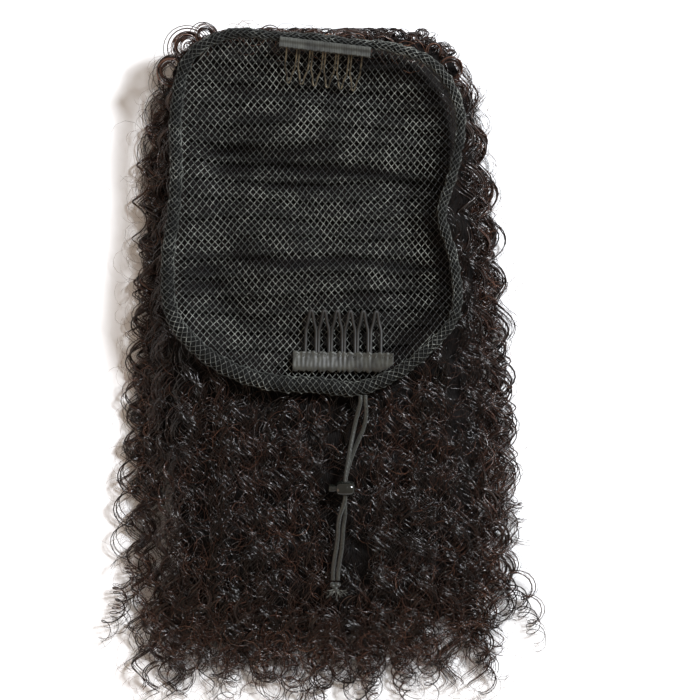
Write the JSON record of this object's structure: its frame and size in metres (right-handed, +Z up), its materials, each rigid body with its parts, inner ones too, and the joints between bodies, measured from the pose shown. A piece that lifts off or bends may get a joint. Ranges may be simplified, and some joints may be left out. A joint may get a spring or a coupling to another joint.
{
  "type": "drawstring ponytail hairpiece",
  "caption": "Curly ponytail hairpiece on a shallow net cap with wire combs and a drawstring with a spring cord lock.",
  "frame": {"origin": "on the surface that the hairpiece lies on, under the middle of the box of its hair and cap", "axes": "+Y to the front of the cap, -Y to the tips of the hair, +X to the wearer's right seen from inside the cap, +Z up out of the cap's hollow"},
  "size_m": [0.2038, 0.3483, 0.0449],
  "materials": {
    "net": "knotted black net",
    "weft": "sewn black thread",
    "hair": "natural black hair with a soft shine",
    "wire": "brown lacquered wire",
    "tape": "woven polyester tape",
    "satin": "satin ribbon",
    "elastic": "braided elastic cord",
    "lock": "gloss moulded"
  },
  "bodies": {
    "hairpiece": {"cap_net": "net", "rim_casing": "net", "weft_row_1": "weft", "weft_row_2": "weft", "weft_row_3": "weft", "weft_row_4": "weft", "weft_row_5": "weft", "weft_row_6": "weft", "hair": "hair", "comb_top_wire": "wire", "comb_top_tape": "tape", "comb_bottom_wire": "wire", "comb_bottom_tape": "satin", "drawstring_left": "elastic", "drawstring_right": "elastic", "cord_lock_body": "lock", "cord_knot": "elastic"},
    "lock_button": {"cord_lock_button": "lock"}
  },
  "joints": [
    {"name": "button_press", "type": "slide", "parent": "hairpiece", "child": "lock_button", "axis": [1, 0, 0], "range_m": [0, 0.0018], "stiffness_N_per_m": 800}
  ]
}
